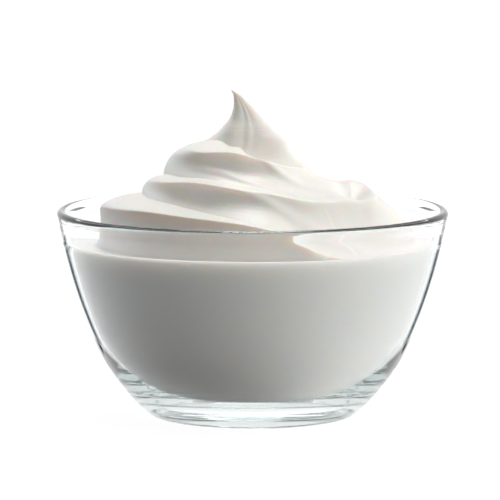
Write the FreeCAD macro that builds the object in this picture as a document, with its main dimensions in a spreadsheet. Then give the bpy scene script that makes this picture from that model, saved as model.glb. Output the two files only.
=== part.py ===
import FreeCAD, Part
import math
import os

import Sketcher

# A clear glass bowl filled with thick yogurt, which is swirled up to a leaning peak.
#
# Millimetres, +Z up, the origin at the middle of the foot, the front at -Y.
# The bowl is turned to its outer outline, hollowed to its inner outline, and rounded at foot and rim.
# The yogurt is one piece: the hollow up to the level, fused with the swirl. The swirl's skin is a spiral
# staircase: its one ridge starts low at the front right and winds clockwise, seen from above, up to the peak.
# Each turn is a wall and a ledge, with round crests at the left and sharp lips over scooped walls in front.

SIZES = {
    # the bowl's outside
    "bowl_height": 74.0,
    "rim_corner_radius": 70.2,
    "foot_corner_radius": 36.2,
    "outer_low_curve": 70.0,
    "outer_high_curve": 192.0,
    "outer_change_height": 26.0,
    "foot_round": 5.0,
    "recess_radius": 27.0,
    "recess_depth": 0.8,
    # the bowl's inside
    "rim_thickness": 3.4,
    "rim_round": 1.6,
    "base_thickness": 6.6,
    "floor_flat_radius": 27.0,
    "floor_curve": 24.0,
    "inner_low_curve": 50.0,
    "inner_high_curve": 180.0,
    "inner_change_height": 30.0,
    # the yogurt and its swirl
    "level_height": 62.4,
    "swirl_sunk": 2.0,
    "swirl_foot_radius": 61.5,
    "crest_rounding": 0.02,
    "wall_scoop": 0.3,
    "ripple": 0.3,
    # the hollow that the curled-over edge leaves at the right
    "curl_right": 35.5,
    "curl_front": 13.0,
    "curl_half_width": 5.5,
    "curl_half_length": 8.0,
    "curl_depth": 4.6,
    "curl_lip": 1.6,
}

# The ridge's path. Turns are counted clockwise from the front: 0.25 is left, 0.5 back, 0.75 right.
# Each row: turns, distance from the axis, height above the bowl's rim, slope, roundness.
# Slope is how much of the ledge below its sloping wall takes up. A crest of roundness 0 is a sharp lip
# over a scooped wall, and one of roundness 1 a quarter ellipse.
RIDGE_PATH = (
    (-0.11, 61.5, -12.6, 0.00, 0.30),
    (-0.07, 60.0, -9.4, 0.10, 0.20),
    (-0.03, 57.2, -1.8, 0.20, 0.00),
    (0.06, 55.4, 3.3, 0.15, 0.10),
    (0.17, 55.6, 6.2, 0.00, 0.50),
    (0.25, 55.2, 5.4, 0.00, 0.75),
    (0.35, 53.0, 1.8, 0.20, 0.70),
    (0.50, 51.5, 1.6, 0.40, 0.60),
    (0.65, 52.0, 4.6, 0.70, 0.80),
    (0.76, 52.4, 9.4, 0.80, 1.00),
    (0.87, 44.8, 6.6, 0.85, 0.10),
    (0.97, 40.6, 9.8, 0.70, 0.00),
    (1.06, 38.8, 13.0, 0.20, 0.10),
    (1.12, 38.0, 13.8, 0.10, 0.40),
    (1.25, 35.4, 11.8, 0.00, 1.00),
    (1.34, 34.2, 10.4, 0.10, 0.90),
    (1.50, 31.0, 10.6, 0.30, 0.60),
    (1.75, 24.5, 14.0, 0.50, 0.20),
    (1.88, 23.0, 17.2, 0.70, 0.00),
    (2.00, 23.4, 21.6, 0.40, 0.00),
    (2.10, 25.6, 23.7, 0.20, 0.30),
    (2.18, 27.4, 24.6, 0.10, 0.80),
    (2.25, 27.8, 24.3, 0.05, 1.00),
    (2.38, 24.0, 22.4, 0.10, 1.00),
    (2.50, 18.0, 22.8, 0.30, 0.60),
    (2.75, 12.0, 26.2, 1.00, 0.20),
    (2.88, 10.4, 27.4, 0.40, 0.60),
    (3.00, 9.0, 28.8, 0.15, 0.80),
    (3.12, 7.8, 30.2, 0.15, 0.80),
    (3.25, 6.5, 31.6, 0.35, 0.70),
    (3.50, 4.6, 34.4, 0.80, 0.40),
    (3.75, 2.6, 38.0, 1.00, 0.10),
    (3.90, 1.3, 40.8, 1.00, 0.10),
    (4.00, 0.3, 42.6, 1.00, 0.10),
)

# How the swirl leans: height above the bowl's rim, and how far its axis is to the left there.
AXIS_LEAN = (
    (-14.0, 0.0),
    (0.0, 2.2),
    (8.0, 3.6),
    (20.0, 4.0),
    (24.0, 2.8),
    (31.0, 2.2),
    (35.0, 2.9),
    (38.5, 4.3),
    (41.0, 5.7),
    (42.6, 7.4),
)

# Low folds that run aslant over the walls. Each row: first and last turn, place between the wall's foot (0)
# and the next wall's foot (1) at the first and at the last turn, half width, height.
FOLDS = (
    (0.58, 0.88, 0.20, 0.20, 0.070, 2.4),
    (0.84, 1.02, 0.03, 0.50, 0.070, 0.8),
    (1.78, 1.97, -0.06, 0.55, 0.070, 1.0),
    (1.82, 2.14, 0.09, 0.22, 0.045, 0.8),
)

# The peak is flattened in front, with a soft crease down the flat and a fuller right edge. Each row:
# direction in degrees from the right, half width, share added to the radius.
PEAK_EDGES = (
    (-84.0, 48.0, -0.40),
    (-80.0, 13.0, 0.06),
    (-8.0, 24.0, 0.10),
)

# The hand's slight shake along the ridge. Each row: waves a turn, where in its wave it starts, share.
SHAKE_OUT = ((4.3, 0.7, 1.0), (9.1, 0.0, 0.7))
SHAKE_UP = ((5.1, 0.4, 1.0), (8.3, 2.0, 0.7))
SHAKE_GROWS_IN = 0.2
SHAKE_FADES_FROM = 2.4
SHAKE_FADES_IN = 0.4

# A steep wall's foot flares by this power of what is left to climb, and a full slope is straight.
FLARE_POWER = 1.7
SLOPE_KEEPS_SCOOP = 0.4
FOLD_FADE = 4.0

# The steps melt into the peak from this turn, over so many turns. The melted form follows the ridge's own
# path, half a turn on.
MELT_FROM = 3.05
MELT_IN = 0.55
HALF_TURN = 0.5

# The flattening grows in from this turn, and fades out above this height over the rim, just below the tip
PEAK_EDGES_FROM, PEAK_EDGES_GROW_IN = 2.7, 0.3
PEAK_EDGES_UNTIL, PEAK_EDGES_FADE_IN = 40.0, 2.5

# The curl's hollow, and the lip on its far side, in half sizes of the hollow or in millimetres
CURL_STEEPNESS = 1.3
CURL_LIP_AWAY, CURL_LIP_WIDTH = 1.5, 0.4
CURL_LIP_START, CURL_LIP_SLANT, CURL_LIP_REACH = 2.5, 0.4, 8.0

# The skin's grid. One row in five lies below the first full turn.
SKIN_ROWS = 84
LOW_ROWS = SKIN_ROWS // 5
SKIN_COLUMNS = 108


def make_sheet(doc):
    """The spreadsheet that holds every driving dimension under its own alias."""
    sheet = doc.addObject("Spreadsheet::Sheet", "sizes")
    for row, (name, value) in enumerate(SIZES.items(), start=1):
        sheet.set(f"A{row}", name)
        sheet.set(f"B{row}", str(value))
        sheet.setAlias(f"B{row}", name)
    doc.recompute()
    return sheet


def origin_plane(body, role):
    """One of a body's own origin planes, found by its role."""
    return next(feature for feature in body.Origin.OriginFeatures if feature.Role == role)


def new_sketch(body, name, role):
    """An empty sketch on one of the body's origin planes."""
    sketch = body.newObject("Sketcher::SketchObject", name)
    sketch.AttachmentSupport = (origin_plane(body, role), [""])
    sketch.MapMode = "FlatFace"
    return sketch


def line(start, end):
    """A straight sketch edge between two (r, z) points."""
    return Part.LineSegment(FreeCAD.Vector(*start, 0), FreeCAD.Vector(*end, 0))


def arc(start, end, radius):
    """A sketch arc that bulges outward and down, from a lower (r, z) point to a higher one."""
    start_point = FreeCAD.Vector(*start, 0)
    end_point = FreeCAD.Vector(*end, 0)
    chord = end_point - start_point
    inward = FreeCAD.Vector(-chord.y, chord.x, 0).normalize()
    half = chord.Length / 2
    centre = (start_point + end_point) / 2 + inward * math.sqrt(radius**2 - half**2)
    first = math.atan2(start_point.y - centre.y, start_point.x - centre.x)
    last = math.atan2(end_point.y - centre.y, end_point.x - centre.x)
    circle = Part.Circle(centre, FreeCAD.Vector(0, 0, 1), radius)
    return Part.ArcOfCircle(circle, first, last)


def constrain(sketch, rules):
    """Add the rules. One that has a formula is a dimension, which is bound to the sheet."""
    for kind, places, value, formula in rules:
        arguments = (kind, *places) if value is None else (kind, *places, value)
        index = sketch.addConstraint(Sketcher.Constraint(*arguments))
        if formula:
            sketch.setExpression(f"Constraints[{index}]", formula)


def sheet_rule(kind, places, name):
    """A dimension that one cell of the sheet drives."""
    return (kind, places, SIZES[name], f"sizes.{name}")


# Two heights nearer than this are the same
SAME_HEIGHT = 1e-4

# Where a drawn outline's arcs change before the tangent rules move them to their exact places
OUTER_CHANGE_RADIUS = 56.2
INNER_CHANGE_RADIUS = 54.9
FLOOR_CURVE_END = (43.9, 13.6)

# Sketcher's numbers for a point of an edge, and for the sketch's own axes
START, END, CENTRE = 1, 2, 3
H_AXIS, V_AXIS = -1, -2


def outer_outline(body):
    """The bowl's half section with no hollow: foot, low curve, high curve, top, axis."""
    sketch = new_sketch(body, "outer_outline", "XZ_Plane")
    foot = (SIZES["foot_corner_radius"], 0.0)
    change = (OUTER_CHANGE_RADIUS, SIZES["outer_change_height"])
    rim = (SIZES["rim_corner_radius"], SIZES["bowl_height"])
    edges = [
        line((0, 0), foot),
        arc(foot, change, SIZES["outer_low_curve"]),
        arc(change, rim, SIZES["outer_high_curve"]),
        line(rim, (0, rim[1])),
        line((0, rim[1]), (0, 0)),
    ]
    sketch.addGeometry(edges, False)
    foot_edge, low_curve, high_curve, top_edge, axis_edge = range(5)
    constrain(sketch, [
        ("Coincident", (foot_edge, START, H_AXIS, START), None, None),
        ("Horizontal", (foot_edge,), None, None),
        ("Coincident", (foot_edge, END, low_curve, START), None, None),
        ("Coincident", (low_curve, END, high_curve, START), None, None),
        ("Tangent", (low_curve, high_curve), None, None),
        ("Coincident", (high_curve, END, top_edge, START), None, None),
        ("Horizontal", (top_edge,), None, None),
        ("Coincident", (top_edge, END, axis_edge, START), None, None),
        ("Coincident", (axis_edge, END, foot_edge, START), None, None),
        ("Vertical", (axis_edge,), None, None),
        sheet_rule("DistanceX", (foot_edge, START, foot_edge, END), "foot_corner_radius"),
        sheet_rule("DistanceY", (H_AXIS, START, low_curve, END), "outer_change_height"),
        sheet_rule("Radius", (low_curve,), "outer_low_curve"),
        sheet_rule("Radius", (high_curve,), "outer_high_curve"),
        sheet_rule("DistanceX", (H_AXIS, START, high_curve, END), "rim_corner_radius"),
        sheet_rule("DistanceY", (H_AXIS, START, high_curve, END), "bowl_height"),
    ])
    return sketch


def hollow_outline(body):
    """The hollow's half section: flat floor, floor curve, low curve, high curve, top, axis."""
    sketch = new_sketch(body, "hollow_outline", "XZ_Plane")
    floor = SIZES["base_thickness"]
    flat_end = (SIZES["floor_flat_radius"], floor)
    change = (INNER_CHANGE_RADIUS, SIZES["inner_change_height"])
    rim = (SIZES["rim_corner_radius"] - SIZES["rim_thickness"], SIZES["bowl_height"])
    edges = [
        line((0, floor), flat_end),
        arc(flat_end, FLOOR_CURVE_END, SIZES["floor_curve"]),
        arc(FLOOR_CURVE_END, change, SIZES["inner_low_curve"]),
        arc(change, rim, SIZES["inner_high_curve"]),
        line(rim, (0, rim[1])),
        line((0, rim[1]), (0, floor)),
    ]
    sketch.addGeometry(edges, False)
    floor_edge, floor_curve, low_curve, high_curve, top_edge, axis_edge = range(6)
    rim_formula = "sizes.rim_corner_radius - sizes.rim_thickness"
    constrain(sketch, [
        ("PointOnObject", (floor_edge, START, V_AXIS), None, None),
        ("Horizontal", (floor_edge,), None, None),
        ("Tangent", (floor_edge, END, floor_curve, START), None, None),
        ("Tangent", (floor_curve, END, low_curve, START), None, None),
        ("Tangent", (low_curve, END, high_curve, START), None, None),
        ("Coincident", (high_curve, END, top_edge, START), None, None),
        ("Horizontal", (top_edge,), None, None),
        ("Coincident", (top_edge, END, axis_edge, START), None, None),
        ("Coincident", (axis_edge, END, floor_edge, START), None, None),
        ("Vertical", (axis_edge,), None, None),
        sheet_rule("DistanceY", (H_AXIS, START, floor_edge, START), "base_thickness"),
        sheet_rule("DistanceX", (floor_edge, START, floor_edge, END), "floor_flat_radius"),
        sheet_rule("Radius", (floor_curve,), "floor_curve"),
        sheet_rule("Radius", (low_curve,), "inner_low_curve"),
        sheet_rule("Radius", (high_curve,), "inner_high_curve"),
        sheet_rule("DistanceY", (H_AXIS, START, low_curve, END), "inner_change_height"),
        ("DistanceX", (H_AXIS, START, high_curve, END), rim[0], rim_formula),
        sheet_rule("DistanceY", (H_AXIS, START, high_curve, END), "bowl_height"),
    ])
    return sketch


def turn(body, kind, name, sketch):
    """Turn a sketch once round its upright axis, as a Revolution or a Groove."""
    feature = body.newObject(f"PartDesign::{kind}", name)
    feature.Profile = sketch
    feature.ReferenceAxis = (sketch, ["V_Axis"])
    feature.Angle = 360.0
    return feature


def round_edges(body, name, base, height, radius_name):
    """Round the circular edges of the base feature that lie at one height."""
    names = []
    for number, edge in enumerate(base.Shape.Edges, start=1):
        box = edge.BoundBox
        flat = box.ZLength < SAME_HEIGHT and abs(box.ZMin - height) < SAME_HEIGHT
        if flat and isinstance(edge.Curve, Part.Circle):
            names.append(f"Edge{number}")
    feature = body.newObject("PartDesign::Fillet", name)
    feature.Base = (base, names)
    feature.setExpression("Radius", f"sizes.{radius_name}")
    return feature


def make_bowl(doc):
    """The glass bowl, on a foot ring round a shallow recess."""
    body = doc.addObject("PartDesign::Body", "bowl")
    body.Label = "bowl"
    turn(body, "Revolution", "outside", outer_outline(body))
    hollow = turn(body, "Groove", "inside", hollow_outline(body))
    doc.recompute()
    rim = round_edges(body, "rim_rounding", hollow, SIZES["bowl_height"], "rim_round")
    doc.recompute()
    foot = round_edges(body, "foot_rounding", rim, 0.0, "foot_round")
    doc.recompute()

    circle = new_sketch(body, "recess_outline", "XY_Plane")
    upright = FreeCAD.Vector(0, 0, 1)
    circle.addGeometry(Part.Circle(FreeCAD.Vector(0, 0, 0), upright, SIZES["recess_radius"]), False)
    constrain(circle, [
        ("Coincident", (0, CENTRE, H_AXIS, START), None, None),
        sheet_rule("Radius", (0,), "recess_radius"),
    ])
    recess = body.newObject("PartDesign::Pocket", "recess")
    recess.Profile = circle
    recess.Reversed = True
    recess.setExpression("Length", "sizes.recess_depth")
    doc.recompute()
    if recess.Shape.Volume >= foot.Shape.Volume:
        raise RuntimeError("the recess cuts nothing")
    return body


def between(path, place):
    """The path's values at a place, by a smooth curve through its rows that never overshoots them."""
    last = len(path) - 2
    index = next((i for i in range(last + 1) if place < path[i + 1][0]), last)

    def rise(i, column):
        return (path[i + 1][column] - path[i][column]) / (path[i + 1][0] - path[i][0])

    def slope(i, column):
        if i == 0:
            return rise(0, column)
        if i == len(path) - 1:
            return rise(last, column)
        before = rise(i - 1, column)
        after = rise(i, column)
        if before * after <= 0:
            return 0.0
        step_before = path[i][0] - path[i - 1][0]
        step_after = path[i + 1][0] - path[i][0]
        weight_before = 2 * step_after + step_before
        weight_after = step_after + 2 * step_before
        return (weight_before + weight_after) / (weight_before / before + weight_after / after)

    start, end = path[index], path[index + 1]
    step = end[0] - start[0]
    u = min(max((place - start[0]) / step, 0.0), 1.0)
    return [
        start[column] * (1 + 2 * u) * (1 - u) ** 2
        + slope(index, column) * step * u * (1 - u) ** 2
        + end[column] * u * u * (3 - 2 * u)
        + slope(index + 1, column) * step * u * u * (u - 1)
        for column in range(1, len(start))
    ]


def ease(share):
    """From 0 to 1 with a level start and end."""
    share = min(max(share, 0.0), 1.0)
    return share * share * (3 - 2 * share)


def bump(place, middle, half_width):
    """A smooth bump of height 1."""
    return math.exp(-(((place - middle) / half_width) ** 2))


def shake(turns, waves):
    """The sum of a few sine waves of different lengths."""
    return sum(share * math.sin(2 * math.pi * count * turns + start) for count, start, share in waves)


def ridge(turns, size):
    """The ridge so many turns along: radius, height, slope, roundness. Before its tail, the skin's foot."""
    first = RIDGE_PATH[0][0]
    if turns < first:
        return size["swirl_foot_radius"], size["level_height"] - size["swirl_sunk"], 0.0, 0.0
    radius, above_rim, slope, roundness = between(RIDGE_PATH, turns)
    grown = ease((turns - first) / SHAKE_GROWS_IN)
    left = 1 - ease((turns - SHAKE_FADES_FROM) / SHAKE_FADES_IN)
    radius += size["ripple"] * grown * left * shake(turns, SHAKE_OUT)
    above_rim += size["ripple"] * grown * left * shake(turns, SHAKE_UP)
    return radius, size["bowl_height"] + above_rim, slope, roundness


def skin_profile(turns_up, first_turns, size):
    """Radius and height of the stepped skin.

    turns_up grows by 1 from one ridge to the next above it, and first_turns is its value at the first wall's
    foot in this direction. In each step the skin climbs a wall, from the height of the ridge below to that of
    this ridge, and goes in along a ledge to the foot of the next wall. Climb and ledge overlap at the crest.
    """
    step = math.floor(turns_up - first_turns + 1e-9)
    share = turns_up - first_turns - step
    turns = turns_up - share
    radius, height, slope, roundness = ridge(turns, size)
    radius_above, _, slope_above, _ = ridge(turns + 1, size)
    radius_below, height_below, _, _ = ridge(turns - 1, size)
    foot = slope * max(radius_below - radius, 0.0)
    foot_above = slope_above * max(radius - radius_above, 0.0)
    half = 0.5 + size["crest_rounding"]
    quarter = math.pi / 2 * share
    climbed = (1 - roundness) * ease(share / half) + roundness * math.sin(quarter)
    gone_in = (1 - roundness) * ease((share - 1 + half) / half) + roundness * (1 - math.cos(quarter))
    wall = height - height_below
    scoop = size["wall_scoop"] * wall * math.sin(math.pi * min(share / 0.5, 1.0)) ** 2
    stepped_radius = (
        radius
        + foot * (1 - climbed) ** (FLARE_POWER - (FLARE_POWER - 1) * slope)
        + (radius_above + foot_above - radius) * gone_in
        - scoop * (1 - (1 - SLOPE_KEEPS_SCOOP) * slope) * (1 - roundness)
    )
    for first, last, place_first, place_last, half_width, fold_height in FOLDS:
        along = (turns - first) / (last - first)
        place = place_first + (place_last - place_first) * along
        fade = ease(FOLD_FADE * along) * ease(FOLD_FADE * (1 - along))
        stepped_radius += fold_height * fade * bump(share, place, half_width)
    return stepped_radius, height_below + wall * climbed


def skin_point(turns_up, first_turns, angle, size):
    """A point of the skin: the steps melt into a smooth peak, which is flattened in front and leans."""
    radius, height = skin_profile(turns_up, first_turns, size)
    peak_radius, peak_height, _, _ = ridge(turns_up - HALF_TURN, size)
    melted = ease((turns_up - MELT_FROM) / MELT_IN)
    radius += (peak_radius - radius) * melted
    height += (peak_height - height) * melted
    above_rim = height - size["bowl_height"]
    edges_grown = ease((turns_up - PEAK_EDGES_FROM) / PEAK_EDGES_GROW_IN)
    edges_left = 1 - ease((above_rim - PEAK_EDGES_UNTIL) / PEAK_EDGES_FADE_IN)
    degrees = math.degrees(math.remainder(angle, 2 * math.pi))
    edges = sum(share * bump(degrees, middle, width) for middle, width, share in PEAK_EDGES)
    radius *= 1 + edges_grown * edges_left * edges
    lean, = between(AXIS_LEAN, above_rim)
    x = radius * math.cos(angle) - lean
    y = radius * math.sin(angle)
    from_curl_x = x - size["curl_right"]
    from_curl_y = y + size["curl_front"]
    away = math.hypot(from_curl_x / size["curl_half_width"], from_curl_y / size["curl_half_length"])
    far_side = ease((from_curl_x + CURL_LIP_START + CURL_LIP_SLANT * from_curl_y) / CURL_LIP_REACH)
    height += size["curl_lip"] * far_side * bump(away, CURL_LIP_AWAY, CURL_LIP_WIDTH)
    height -= size["curl_depth"] * math.exp(-CURL_STEEPNESS * away**2)
    return FreeCAD.Vector(x, y, height)


def skin_column(angle, size):
    """The skin's points in one direction, from its foot to the peak.

    The rows share one scale of turns from the first full turn up. Below it they are squeezed in between the
    first wall's foot, which comes later the further the ridge has climbed, and that turn.
    """
    first = RIDGE_PATH[0][0]
    from_front = (-math.pi / 2 - angle) / (2 * math.pi)
    first_turns = first + (from_front - first) % 1.0
    full_turn = first + 1
    top = RIDGE_PATH[-1][0] + HALF_TURN
    points = []
    for row in range(SKIN_ROWS):
        if row < LOW_ROWS:
            turns_up = first_turns + (full_turn - first_turns) * row / LOW_ROWS
        else:
            turns_up = full_turn + (top - full_turn) * (row - LOW_ROWS) / (SKIN_ROWS - 1 - LOW_ROWS)
        points.append(skin_point(turns_up, first_turns, angle, size))
    return points


def swirl_solid(size):
    """A smooth skin with the grid's points as its poles, closed by a flat bottom and a tiny top."""
    columns = [skin_column(2 * math.pi * column / SKIN_COLUMNS, size) for column in range(SKIN_COLUMNS)]
    poles = [list(row) for row in zip(*columns)]
    for end_row in (poles[0], poles[-1]):
        height = sum(point.z for point in end_row) / SKIN_COLUMNS
        for point in end_row:
            point.z = height
    degree = 3
    row_knots = list(range(SKIN_ROWS - degree + 1))
    row_counts = [degree + 1] + [1] * (len(row_knots) - 2) + [degree + 1]
    round_knots = list(range(SKIN_COLUMNS + 1))
    round_counts = [1] * len(round_knots)
    skin = Part.BSplineSurface()
    skin.buildFromPolesMultsKnots(
        poles, row_counts, round_counts, row_knots, round_knots, False, True, degree, degree
    )
    side = skin.toShape()
    rings = [edge for edge in side.Edges if edge.BoundBox.ZLength < SAME_HEIGHT]
    caps = [Part.Face(Part.Wire(edge)) for edge in rings]
    shell = Part.makeShell([side, *caps])
    shell.sewShape()
    return Part.makeSolid(shell)


def make_yogurt(doc, sheet):
    """The yogurt: what fills the hollow up to the level, and the swirl on it."""
    filling = doc.addObject("PartDesign::Body", "filling")
    turn(filling, "Revolution", "hollow_form", hollow_outline(filling))
    below_level = doc.addObject("Part::Cylinder", "below_level")
    below_level.setExpression("Radius", "sizes.rim_corner_radius")
    below_level.setExpression("Height", "sizes.level_height")
    filled = doc.addObject("Part::Common", "filled_part")
    filled.Base = filling
    filled.Tool = below_level
    swirl = doc.addObject("Part::Feature", "swirl")
    swirl.Shape = swirl_solid({name: float(sheet.get(name)) for name in SIZES})
    yogurt = doc.addObject("Part::Fuse", "yogurt")
    yogurt.Label = "yogurt"
    yogurt.Base = filled
    yogurt.Tool = swirl
    doc.recompute()
    return yogurt


def main():
    doc = FreeCAD.newDocument("bowl_of_yogurt")
    sheet = make_sheet(doc)
    parts = [make_bowl(doc), make_yogurt(doc, sheet)]
    doc.recompute()
    for item in doc.Objects:
        if {"Invalid", "Error"} & set(item.State):
            raise RuntimeError(f"{item.Name} failed: {item.State}")
    os.makedirs("parts", exist_ok=True)
    for part in parts:
        shape = part.Shape
        if shape.isNull() or not shape.isValid() or len(shape.Solids) != 1:
            raise RuntimeError(f"{part.Label} is not one valid solid")
        box = shape.BoundBox
        reach = f"x {box.XMin:.1f}..{box.XMax:.1f}, y {box.YMin:.1f}..{box.YMax:.1f}"
        print(f"{part.Label}: {shape.Volume / 1000:.1f} cm3, {reach}, z {box.ZMin:.1f}..{box.ZMax:.1f}")
        shape.exportStep(f"parts/{part.Label}.step")


main()
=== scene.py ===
# %% [markdown]
# # A glass bowl of swirled yogurt
#
# The real thing is two materials: a pressed glass bowl, clear and about 3 mm thick, and one mass of thick
# yogurt that fills it and is swirled up to a leaning peak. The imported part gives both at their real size.
# This lesson loads it as a fixed frame, in metres and with +Z up, and builds two finer surfaces around it.

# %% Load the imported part
import math

import bpy
import numpy as np
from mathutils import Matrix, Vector


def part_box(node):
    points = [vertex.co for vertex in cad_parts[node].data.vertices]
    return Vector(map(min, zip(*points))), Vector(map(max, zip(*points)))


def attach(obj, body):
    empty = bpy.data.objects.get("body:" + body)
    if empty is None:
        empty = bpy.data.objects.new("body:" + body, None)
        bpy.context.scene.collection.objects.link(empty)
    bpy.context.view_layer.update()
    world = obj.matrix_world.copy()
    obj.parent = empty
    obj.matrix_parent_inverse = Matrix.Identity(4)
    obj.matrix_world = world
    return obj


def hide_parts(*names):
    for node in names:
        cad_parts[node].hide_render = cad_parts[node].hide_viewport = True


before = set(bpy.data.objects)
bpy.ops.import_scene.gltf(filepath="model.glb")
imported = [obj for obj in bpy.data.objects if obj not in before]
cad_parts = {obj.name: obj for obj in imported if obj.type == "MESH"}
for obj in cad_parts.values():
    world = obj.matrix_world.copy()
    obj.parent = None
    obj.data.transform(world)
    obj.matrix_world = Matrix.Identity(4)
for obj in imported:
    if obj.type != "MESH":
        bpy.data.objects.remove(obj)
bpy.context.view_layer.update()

MM = 0.001
_, bowl_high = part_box("bowl")

# %% [markdown]
# ## Surfaces from arrays
#
# Both pieces are grids that close round the bowl's axis: a row is a ring, a column runs from one end of the
# surface to the other. Computing all points as one array is quicker than a loop over vertices, and the faces
# follow from the grid's own numbering. Where a grid ends in a point, a fan of triangles closes it.

# %% A mesh from a grid of rings
def ring_mesh(name, rings):
    """Join rings of points into a closed skin.

    rings has the shape (rows, columns, 3). Point j of a ring joins point j + 1, and the last joins the first.
    The first and the last ring are each closed by a fan round their middle. Seen from outside, with the rows
    going up, the columns go counter-clockwise.
    """
    rows, columns, _ = rings.shape
    column = np.arange(columns)
    after = (column + 1) % columns
    row = np.arange(rows - 1)[:, None] * columns
    quads = np.stack([row + column, row + after, row + columns + after, row + columns + column], axis=-1)
    first_middle, last_middle = rows * columns, rows * columns + 1
    last = (rows - 1) * columns
    first_fan = np.stack([np.full(columns, first_middle), after, column], axis=-1)
    last_fan = np.stack([np.full(columns, last_middle), last + column, last + after], axis=-1)
    points = np.vstack([rings.reshape(-1, 3), rings[0].mean(axis=0), rings[-1].mean(axis=0)])
    faces = quads.reshape(-1, 4).tolist() + first_fan.tolist() + last_fan.tolist()
    mesh = bpy.data.meshes.new(name)
    mesh.from_pydata(points.tolist(), [], faces)
    mesh.polygons.foreach_set("use_smooth", np.ones(len(faces), dtype=bool))
    mesh.update()
    piece = bpy.data.objects.new(name, mesh)
    bpy.context.scene.collection.objects.link(piece)
    print(f"{name}: {len(points)} points, {sum(len(face) - 2 for face in faces)} triangles")
    return piece


def turned(outline, columns):
    """Turn an outline of (radius, height) rows round the upright axis.

    With a the angle round it: x = r cos a, y = r sin a, z = height.
    """
    angle = np.arange(columns) / columns * 2 * np.pi
    radius, height = outline[:, :1], outline[:, 1:]
    return np.stack([radius * np.cos(angle), radius * np.sin(angle), height + 0 * angle], axis=-1)


# %% [markdown]
# ## The bowl's outlines
#
# A pressed bowl is drawn with few large arcs that meet smoothly. Each outline is walked down from the rim: it
# starts with a lean from upright, and each arc turns it further towards level, which it reaches at the foot
# or the floor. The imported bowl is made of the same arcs, but its mesh has facets that clear glass would show.
# A finer turned surface replaces it.

# %% Arcs of the outside and the inside
TOP = bowl_high.z
RIM_ROUND = 1.66 * MM
RIM_MIDDLE = 68.25 * MM
OUTER_LEAN = 9.49
OUTER_RADII = (192.0 * MM, 70.0 * MM, 5.0 * MM)
OUTER_CHANGE = 26.0 * MM
FOOT_HEIGHT = 0.0
INNER_LEAN = 8.31
INNER_RADII = (180.0 * MM, 50.0 * MM, 24.0 * MM)
INNER_CHANGE = 30.0 * MM
FLOOR_HEIGHT = 6.6 * MM
RECESS_RADIUS = 27.0 * MM
RECESS_DEPTH = 0.8 * MM
RECESS_EDGE = 0.8 * MM


ARC_STEP = 0.6 * MM
FEWEST_ARC_POINTS = 6


def walk_down(start, lean, radii, change, bottom):
    """Points down a chain of three arcs that meet smoothly and end level at the bottom.

    With a the angle from upright, growing from a0 to a1 along an arc of radius R that starts at (r0, z0):
    r = r0 - R (cos a0 - cos a) and z = z0 - R (sin a - sin a0). So an arc falls by R times the growth of
    sin a. The first falls to the height of the change, and the other two together to the bottom, where sin a
    is 1. That gives sin a where each arc ends.
    """
    r, z = start
    high, low, last = radii
    at_start = math.sin(math.radians(lean))
    at_change = at_start + (z - change) / high
    at_last = (change - bottom + low * at_change - last) / (low - last)
    leans = [math.asin(sine) for sine in (at_start, at_change, at_last, 1.0)]
    points = []
    for radius, a0, a1 in zip(radii, leans, leans[1:]):
        a = np.linspace(a0, a1, max(FEWEST_ARC_POINTS, math.ceil(radius * (a1 - a0) / ARC_STEP)))
        arc_r = r - radius * (math.cos(a0) - np.cos(a))
        arc_z = z - radius * (np.sin(a) - math.sin(a0))
        points.append(np.stack([arc_r, arc_z], axis=-1))
        r, z = points[-1][-1]
    return np.vstack([points[0]] + [part[1:] for part in points[1:]])


def rim_point(degrees):
    """A point of the rim's round top, so many degrees up from straight outwards."""
    a = np.radians(degrees)
    return np.stack([RIM_MIDDLE + RIM_ROUND * np.cos(a), TOP - RIM_ROUND + RIM_ROUND * np.sin(a)], axis=-1)


outside = walk_down(rim_point(-OUTER_LEAN), OUTER_LEAN, OUTER_RADII, OUTER_CHANGE, FOOT_HEIGHT)
inside = walk_down(rim_point(180 - INNER_LEAN), INNER_LEAN, INNER_RADII, INNER_CHANGE, FLOOR_HEIGHT)
print("foot radius and height in mm:", outside[-1] / MM, " floor:", inside[-1] / MM)

# %% [markdown]
# ## The bowl
#
# The bowl is one closed skin: from the middle of the recess under the foot, out and up the outside, over the
# rim, down the inside and in over the floor. A real pressed rim is fire-polished, which leaves a faint bead
# just below it on the inside. The bead is what draws the fine lines round the rim.

# %% The bowl's whole outline
BEAD = 0.35 * MM
BEAD_DEPTH = 3.2 * MM
BEAD_HALF_WIDTH = 1.6 * MM
BOWL_COLUMNS = 280
SMALLEST_RING = 1.0 * MM

recess_radii = np.concatenate([
    np.linspace(SMALLEST_RING, RECESS_RADIUS - RECESS_EDGE, 14),
    np.linspace(RECESS_RADIUS - RECESS_EDGE, RECESS_RADIUS, 9)[1:],
    np.linspace(RECESS_RADIUS, outside[-1, 0], 7)[1:-1],
])


def ease(share):
    """From 0 to 1 with a level start and end: 3 s^2 - 2 s^3."""
    share = np.clip(share, 0.0, 1.0)
    return share * share * (3 - 2 * share)


recess_shares = (recess_radii - RECESS_RADIUS + RECESS_EDGE) / RECESS_EDGE
recess = np.stack([recess_radii, RECESS_DEPTH * (1 - ease(recess_shares))], axis=-1)
rim = rim_point(np.linspace(-OUTER_LEAN, 180 - INNER_LEAN, 26))[1:-1]
beaded = inside.copy()
beaded[:, 0] -= BEAD * np.exp(-(((TOP - inside[:, 1] - BEAD_DEPTH) / BEAD_HALF_WIDTH) ** 2))
floor_radii = np.linspace(inside[-1, 0], SMALLEST_RING, 14)[1:]
floor = np.stack([floor_radii, np.full_like(floor_radii, inside[-1, 1])], axis=-1)
bowl_outline = np.vstack([recess, outside[::-1], rim, beaded, floor])
print("points in the outline:", len(bowl_outline))

# %% Turn the bowl
bowl = ring_mesh("glass_bowl", turned(bowl_outline, BOWL_COLUMNS))

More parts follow.
